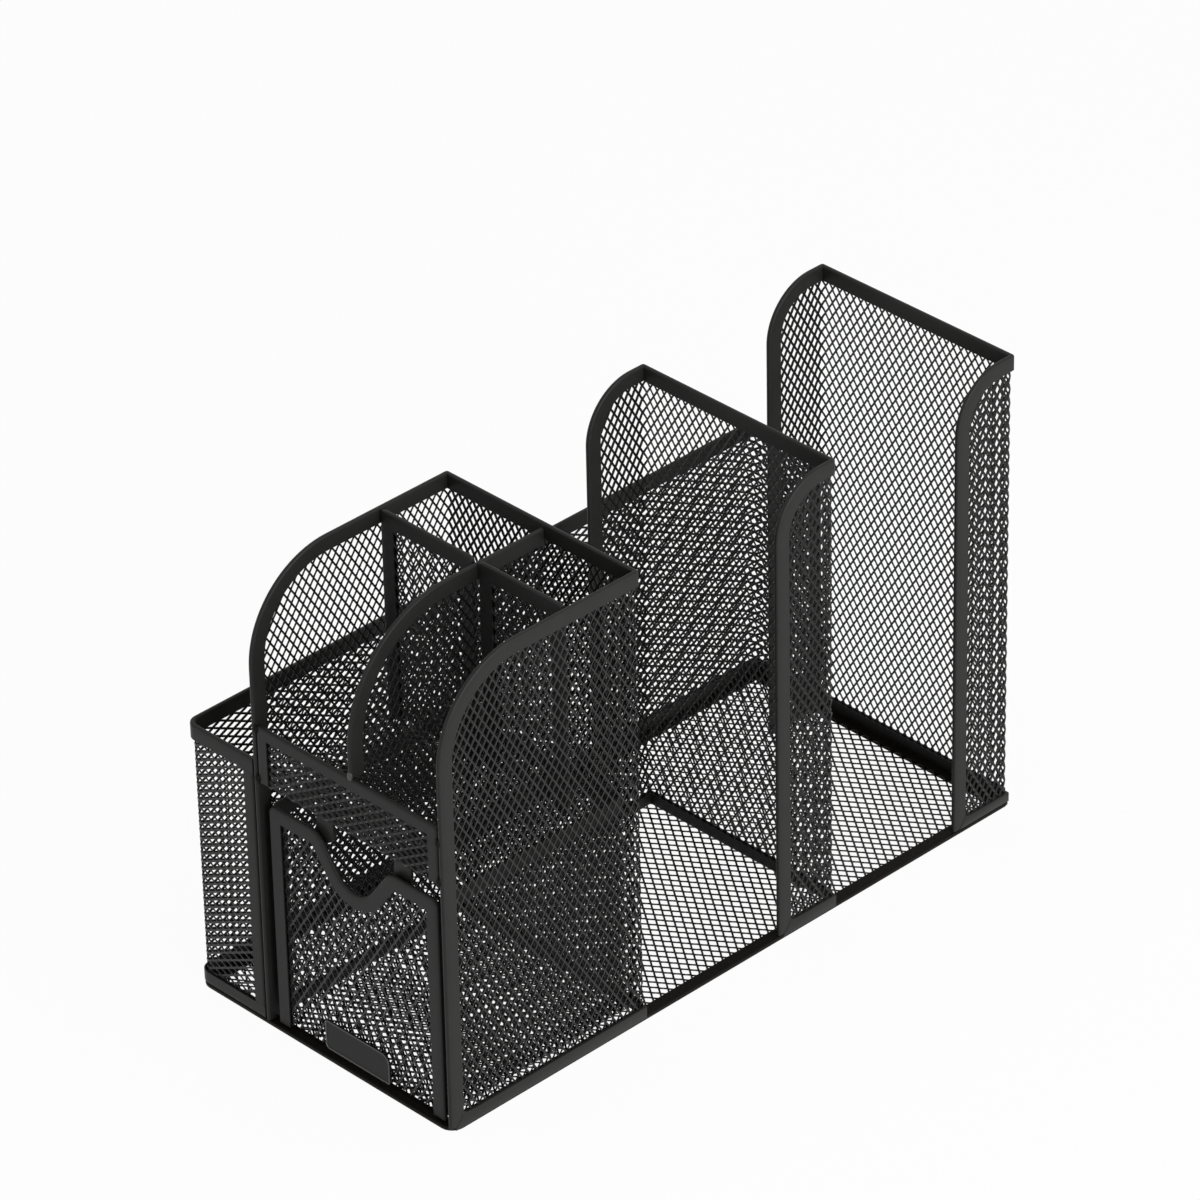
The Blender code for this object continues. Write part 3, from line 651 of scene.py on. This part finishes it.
def plate(name, outline, thick, edge):
    """A flat plate with soft edges: a circle with as many corners, each moved to its place."""
    deselect_all()
    bpy.ops.mesh.primitive_circle_add(vertices=len(outline), radius=1, fill_type="NGON")
    item = named(name)
    for vertex, (across, rise) in zip(item.data.vertices, outline):
        vertex.co = (across, rise, -thick / 2)
    edit()
    bpy.ops.mesh.select_all(action="SELECT")
    bpy.ops.mesh.extrude_region_move(TRANSFORM_OT_translate={"value": (0, 0, thick)})
    bpy.ops.mesh.select_all(action="SELECT")
    bpy.ops.mesh.normals_make_consistent(inside=False)
    pick(lambda side: abs(side.verts[0].co.z - side.verts[1].co.z) < thick / 9, "EDGE")
    bpy.ops.mesh.bevel(offset=edge, segments=2, affect="EDGES")
    leave()
    bpy.ops.object.shade_smooth_by_angle(angle=math.radians(40))
    return item


def rounded_rectangle(width, height, radii, steps=6):
    """The outline of a rectangle with its lower left corner at the origin.

    Its corners are rounded by these radii: lower right, upper right, upper left, lower left.
    """
    points = []
    for corner, radius in enumerate(radii):
        across = width - radius if corner < 2 else radius
        rise = height - radius if corner in (1, 2) else radius
        points += arc_points((across, rise), radius, 90 * corner - 90, 90 * corner, steps)
    return points


def bare_plate():
    """The bare plate low on the drawer's front: a sunk field inside a thin raised edge."""
    thick = 1.0 * MM
    outline = rounded_rectangle(33.0 * MM, 12.3 * MM, (1.0 * MM, 4.0 * MM, 1.2 * MM, 1.8 * MM))
    item = plate("bare_plate", outline, thick, 0.2 * MM)
    edit()
    pick(lambda face: face.normal.z > 0.99, "FACE")
    bpy.ops.mesh.inset(thickness=0.35 * MM)
    bpy.ops.mesh.inset(thickness=0.12 * MM, depth=-0.25 * MM)
    leave()
    bpy.ops.object.shade_smooth_by_angle(angle=math.radians(40))
    wear(item, LABEL_COAT, "label_plate", "drawer", "label_plate")
    # The raised edge's top faces get the lighter coat: partly wear, partly a painted highlight where the
    # bevel catches light.
    item.data.materials.append(RUBBED_AND_HIGHLIGHT_COAT)
    for face in item.data.polygons:
        face.material_index = int(len(face.vertices) == 4 and face.center.z > thick / 2 - 0.21 * MM)
    placed(item, (1, 0, 0), (0, 0, 1), (0.5 * MM, -141.0 * MM, 4.3 * MM))


def weld_beads():
    """Rippled beads of weld where the lip's frame and the divider meet their neighbours."""
    deselect_all()
    bpy.ops.mesh.primitive_uv_sphere_add(segments=14, ring_count=12, radius=1)
    first = named("weld_bead_1")
    edit()
    bpy.ops.mesh.select_all(action="SELECT")
    bpy.ops.transform.resize(value=(1.3 * MM, 0.9 * MM, 1.8 * MM))
    for level in (-0.9, 0.0, 0.9):
        pick(lambda vertex: abs(vertex.co.z - level * MM) < 0.2 * MM)
        bpy.ops.transform.resize(value=(0.82, 0.82, 1), center_override=(0, 0, 0))
    leave()
    bpy.ops.object.shade_smooth_by_angle(angle=math.radians(60))
    spots = ((63.8, -142.4, 121.6), (63.8, -142.4, 105.6), (-27.8, -142.4, 126.2),
             (-27.8, -142.4, 105.6), (20.3, -142.1, 128.9))
    for number, spot in enumerate(spots):
        item = first if number == len(spots) - 1 else first.copy()
        if item is not first:
            item.data = first.data.copy()
            bpy.context.scene.collection.objects.link(item)
        placed(item, (1, 0, 0), (0, 1, 0), [value * MM for value in spot])
        item.name = item.data.name = f"weld_bead_{len(spots) - number}"
        # The bead at the divider's foot gets the lighter coat: bare cut metal plus a painted highlight on
        # its two lit lips; the others are dark.
        wear(item, RUBBED_AND_HIGHLIGHT_COAT if item is first else RING_COAT, "folded_strip", "frame")


def cup_cradles():
    """Two cradles, each one bent sheet with its rim and feet."""
    for number, front, height, bottom in ((1, 20.5 * MM, 190.5 * MM, 0.6 * MM),
                                          (2, 112.5 * MM, 193.5 * MM, 1.8 * MM)):
        name, depth, radius = f"cradle_{number}", 30.0 * MM, 22.5 * MM
        sides = (name + "_right_wing", name + "_back", name + "_left_wing")
        (item,) = wrapped_walls(name + "_bent_mesh", front, depth, height, radius, flip=True)
        dress_mesh(item, "frame", *[side + "_mesh" for side in sides])
        wrapped_rim(name + "_bent_rim", front, depth, height, radius, *[side + "_rim" for side in sides])
        wrapped_foot(name, front, depth, 6.8 * MM, 5.6 * MM, bottom, *[side + "_foot" for side in sides])


def napkin_trough():
    """The trough's one bent sheet, its rim and foot, and the upright strips at its ends."""
    end, plane, reach = 33.8 * MM, 141.4 * MM, 3.9 * MM
    second = end - 2 * reach + flat_length(reach) + 2 * plane
    total = second - 2 * reach + flat_length(reach) + end
    outline = wall_outline((STRAND_HOLD, WALL_NET_FOOT), (total - STRAND_HOLD, TROUGH_TOP - STRAND_HOLD))
    item = mesh_sheet("trough_mesh", outline, TROUGH_PITCH, sideways=True)
    fold(item, "Y", second, reach, -math.pi / 2)
    fold(item, "Y", end, reach, -math.pi / 2)
    placed(item, (-1, 0, 0), (0, 0, 1), (-31.1 * MM, -plane, 0))
    dress_mesh(item, "frame", "napkin_front_mesh", "napkin_side_mesh", "napkin_rear_mesh")
    run, length = 30.6 * MM, 275.0 * MM
    moves = [("go", run), ("turn", (0, 1, 0), reach, 10), ("go", length),
             ("turn", (1, 0, 0), reach, 10), ("go", run)]
    for name, level, into, band, node in (("trough_rim", TROUGH_TOP, -1, BAND, "napkin_rim"),
                                          ("trough_foot", FOOT_LEVEL, 1, FOOT_BAND, "napkin_foot")):
        item = folded_strip(name, (TROUGH_OPEN, -plane, level), (0, 0, into), (-1, 0, 0), moves, band)
        dress_strip(item, "frame", node)
    for name, place in (("napkin_front_post", -plane), ("napkin_rear_post", plane)):
        item = folded_strip("trough_" + name[7:], (TROUGH_OPEN, place, 6.8 * MM), (-1, 0, 0), (0, 0, 1),
                            [("go", 99.4 * MM)], 5.0 * MM)
        dress_strip(item, "frame", name)


def base():
    """The mesh floor and the ring round it, round at the front corners and square at the rear."""
    outline = wall_outline((-63.0 * MM, -139.6 * MM), (63.0 * MM, 139.6 * MM))
    item = mesh_sheet("floor_mesh", outline, BASE_PITCH, sideways=True)
    placed(item, (1, 0, 0), (0, 1, 0), (0, 0, 0.9 * MM))
    dress_mesh(item, "frame", "base_mesh")
    radius, across, along = 5.5 * MM, 131.7 * MM, 284.7 * MM
    band, tip = 5.0 * MM, 1.5 * MM
    square = band + CREASE
    half = ("go", across / 2 - radius)
    length = ("go", along - radius - square)
    round_corner, square_corner = ("turn", "in", radius, 8), ("corner", "in", tip, 6)
    moves = [half, round_corner, length, square_corner, ("go", across - 2 * square),
             square_corner, length, round_corner, half]
    item = folded_strip("floor_ring", (0, -along / 2, RING_THICK / 2), (0, 1, 0), (1, 0, 0), moves, band,
                        closed=True, thick=RING_THICK, edge_round=RING_ROUND)
    wear(item, RING_COAT, "folded_strip", "frame", "base_rim")


def shelf_and_lip():
    """The shelf, rolled up at its front into the lip, and the strip round the lip."""
    front, top, reach = -141.4 * MM, 127.9 * MM, 1.5 * MM
    low = front + 2 * reach - flat_length(reach) - (top - SHELF_LEVEL) + STRAND_HOLD
    outline = wall_outline((-27.2 * MM, low), (63.2 * MM, -48.2 * MM))
    item = mesh_sheet("shelf_bent_mesh", outline, SHELF_PITCH, sideways=True)
    fold(item, "X", front, reach, -math.pi / 2, before=True)
    placed(item, (1, 0, 0), (0, 1, 0), (0, 0, SHELF_LEVEL))
    dress_mesh(item, "frame", "shelf_mesh", "lip_mesh")
    square, width = LIP_BAND + CREASE, 91.0 * MM
    rise, corner = ("go", top - LIP_FOOT - square), ("corner", "in", LIP_TIP, 8)
    moves = [rise, corner, ("go", width - 2 * square), corner, rise]
    item = folded_strip("lip_frame", (-27.5 * MM, front, LIP_FOOT), (1, 0, 0), (0, 0, 1), moves, LIP_BAND)
    dress_strip(item, "frame", "lip_rim")


def inner_walls():
    """The divider with its large arc, and the two cross walls."""
    outline = wall_outline((STRAND_HOLD, INNER_NET_FOOT), (93.0 * MM, DIVIDER_TOP - STRAND_HOLD),
                           DIVIDER_ROUND - STRAND_HOLD)
    item = mesh_sheet("divider_sheet", outline, WALL_PITCH)
    placed(item, (0, 1, 0), (0, 0, 1), (DIVIDER_PLACE, BOX_FRONT, 0))
    dress_mesh(item, "frame", "divider_mesh")
    moves = [("go", 10.9 * MM), ("turn", "in", DIVIDER_ROUND, 28), ("go", 45.8 * MM)]
    item = folded_strip("divider_strip", (DIVIDER_PLACE, BOX_FRONT, 128.1 * MM), (0, 1, 0), (0, 0, 1), moves)
    dress_strip(item, "frame", "divider_rim")
    for side, start, end in (("left", -27.5, 18.9), ("right", 21.7, 63.5)):
        width = (end - start) * MM
        outline = wall_outline((STRAND_HOLD, INNER_NET_FOOT), (width - STRAND_HOLD, BOX_TOP - STRAND_HOLD))
        item = mesh_sheet(f"cross_{side}_sheet", outline, WALL_PITCH, flip=True)
        placed(item, (1, 0, 0), (0, 0, 1), (start * MM, CROSS_PLACE, 0))
        dress_mesh(item, "frame", f"cross_wall_{side}_mesh")
        square = BAND + CREASE
        rise, corner = ("go", BOX_TOP - CROSS_FOOT - square), ("corner", "in", CROSS_TIP, 8)
        moves = [rise, corner, ("go", width - 2 * square), corner, rise]
        item = folded_strip(f"cross_{side}_strip", (start * MM, CROSS_PLACE, CROSS_FOOT), (1, 0, 0),
                            (0, 0, 1), moves)
        dress_strip(item, "frame", f"cross_wall_{side}_rim")


def drawer():
    """The drawer: its front with the notched strip, and the tray behind it."""
    width, top, left, plane = 85.7 * MM, 95.3 * MM, -24.85 * MM, -139.9 * MM
    middle, shoulder, floor, deep = width / 2, 7.7 * MM, 10.5 * MM, 17.5 * MM
    strip_foot, tray_front, tray_rear = 2.6 * MM, -138.4 * MM, -51.6 * MM
    slope = math.radians(54)
    straight = (deep - (shoulder + floor) * (1 - math.cos(slope))) / math.sin(slope)
    half = (shoulder + floor) * math.sin(slope) + straight * math.cos(slope)
    hold = STRAND_HOLD
    outline = [(hold, 4.2 * MM), (width - hold, 4.2 * MM), (width - hold, top - hold)]
    outline += arc_points((middle + half, top - shoulder), shoulder - hold, 90, 144, 6)
    outline += arc_points((middle, top - deep + floor), floor + hold, 324, 216, 12)
    outline += arc_points((middle - half, top - shoulder), shoulder - hold, 36, 90, 6)
    outline += [(hold, top - hold)]
    item = mesh_sheet("drawer_front_sheet", outline, FRONT_PITCH, flip=True)
    placed(item, (1, 0, 0), (0, 0, 1), (left, plane, 0))
    dress_mesh(item, "drawer", "drawer_front_mesh")
    band, tip = 5.8 * MM, 3.0 * MM
    square = band + CREASE
    flat = middle - half - square
    rise = top - square - strip_foot
    moves = [("go", rise), ("corner", "in", tip, 10), ("go", flat),
             ("turn", "in", shoulder, 8, 54), ("go", straight), ("turn", "out", floor, 14, 108),
             ("go", straight), ("turn", "in", shoulder, 8, 54), ("go", flat),
             ("corner", "in", tip, 10), ("go", rise)]
    item = folded_strip("drawer_front_strip", (left, plane, strip_foot), (1, 0, 0), (0, 0, 1), moves, band)
    dress_strip(item, "drawer", "drawer_front_rim")
    reach, low, side = 1.5 * MM, 2.9 * MM, 1.1 * MM
    wall = top - low - STRAND_HOLD
    right_corner, left_corner = left + width - side, left + side
    spread = wall + flat_length(reach) - 2 * reach
    outline = wall_outline((left_corner - spread, -138.0 * MM), (right_corner + spread, -51.4 * MM))
    item = mesh_sheet("tray_sheet", outline, WALL_PITCH, sideways=True)
    fold(item, "Y", right_corner, reach, -math.pi / 2)
    fold(item, "Y", left_corner, reach, math.pi / 2, before=True)
    placed(item, (1, 0, 0), (0, 1, 0), (0, 0, low))
    dress_mesh(item, "drawer", "drawer_floor_mesh", "drawer_left_mesh", "drawer_right_mesh")
    outline = wall_outline((STRAND_HOLD, 4.4 * MM), (width - STRAND_HOLD, top - STRAND_HOLD))
    item = mesh_sheet("tray_back_sheet", outline, WALL_PITCH)
    placed(item, (1, 0, 0), (0, 0, 1), (left, tray_rear, 0))
    dress_mesh(item, "drawer", "drawer_back_mesh")
    turn = 1.9 * MM
    run = tray_rear - tray_front - turn
    moves = [("go", run), ("turn", (1, 0, 0), turn, 6), ("go", width - 2 * side - 2 * turn),
             ("turn", (0, -1, 0), turn, 6), ("go", run)]
    item = folded_strip("tray_strip", (left + side, tray_front, top), (0, 0, -1), (0, 1, 0), moves, band)
    dress_strip(item, "drawer", "drawer_rim")
    for name, across in (("tray_left_post", left_corner), ("tray_right_post", right_corner)):
        item = folded_strip(name, (across, -138.6 * MM, 4.0 * MM), (0, 1, 0), (0, 0, 1),
                            [("go", 85.2 * MM)], 4.0 * MM)
        dress_strip(item, "drawer")


def plain_nodes():
    """The solids that stay as they are get their coats."""
    for item in frame["nodes"].values():
        if item.hide_render:
            continue
        item.data.materials.clear()
        item.data.materials.append(STRIP_COAT)


def seen_rays(nodes, links, share):
    """A value that is share for what the camera sees, straight, in gloss or through glass."""
    path = nodes.new("ShaderNodeLightPath")
    first = nodes.new("ShaderNodeMath")
    second = nodes.new("ShaderNodeMath")
    part = nodes.new("ShaderNodeMath")
    part.operation = "MULTIPLY"
    part.inputs[1].default_value = share
    links.new(path.outputs["Is Camera Ray"], first.inputs[0])
    links.new(path.outputs["Is Glossy Ray"], first.inputs[1])
    links.new(first.outputs["Value"], second.inputs[0])
    links.new(path.outputs["Is Transmission Ray"], second.inputs[1])
    links.new(second.outputs["Value"], part.inputs[0])
    return part.outputs["Value"]


def studio():
    """A pale floor, soft light from above and both sides, and a white background."""
    deselect_all()
    bpy.ops.mesh.primitive_plane_add(size=6)
    floor = named("floor")
    edit()
    bpy.ops.mesh.select_all(action="SELECT")
    bpy.ops.transform.translate(value=(0, 0, -0.1 * MM))
    leave()
    ground = bpy.data.materials.new("pale_floor")
    ground.use_nodes = True
    nodes, links = ground.node_tree.nodes, ground.node_tree.links
    shader = nodes["Principled BSDF"]
    shader.inputs["Base Color"].default_value = (0.93, 0.93, 0.93, 1)
    shader.inputs["Roughness"].default_value = 0.9
    shader.inputs["Specular IOR Level"].default_value = 0.1
    glow = nodes.new("ShaderNodeEmission")
    blend = nodes.new("ShaderNodeMixShader")
    links.new(seen_rays(nodes, links, 0.95), blend.inputs["Fac"])
    links.new(shader.outputs["BSDF"], blend.inputs[1])
    links.new(glow.outputs["Emission"], blend.inputs[2])
    links.new(blend.outputs["Shader"], nodes["Material Output"].inputs["Surface"])
    floor.data.materials.append(ground)
    lamps = (
        ("lamp_over", (0.2, 0.2, 1.8), 1.2, 4.0),
        ("lamp_front", (-0.7, -1.9, 0.55), 1.6, 3.5),
        ("lamp_right", (2.05, -0.1, 0.6), 1.6, 48.0),
    )
    for name, spot, size, power in lamps:
        lamp = bpy.data.lights.new(name, "AREA")
        lamp.energy = power
        lamp.size = size
        item = bpy.data.objects.new(name, lamp)
        item.location = spot
        item.rotation_euler = (Vector((0, 0, 0.08)) - Vector(spot)).to_track_quat("-Z", "Y").to_euler()
        bpy.context.scene.collection.objects.link(item)
    world = bpy.data.worlds.new("studio")
    bpy.context.scene.world = world
    world.use_nodes = True
    nodes, links = world.node_tree.nodes, world.node_tree.links
    back = nodes["Background"]
    back.inputs["Color"].default_value = (1, 1, 1, 1)
    level = nodes.new("ShaderNodeMapRange")
    level.inputs["To Min"].default_value = 0.35
    level.inputs["To Max"].default_value = 1.0
    links.new(seen_rays(nodes, links, 1.0), level.inputs["Value"])
    links.new(level.outputs["Result"], back.inputs["Strength"])
    bpy.context.scene.view_settings.view_transform = "Standard"


base()
condiment_box()
cup_cradles()
napkin_trough()
shelf_and_lip()
inner_walls()
drawer()
bare_plate()
weld_beads()
plain_nodes()
studio()
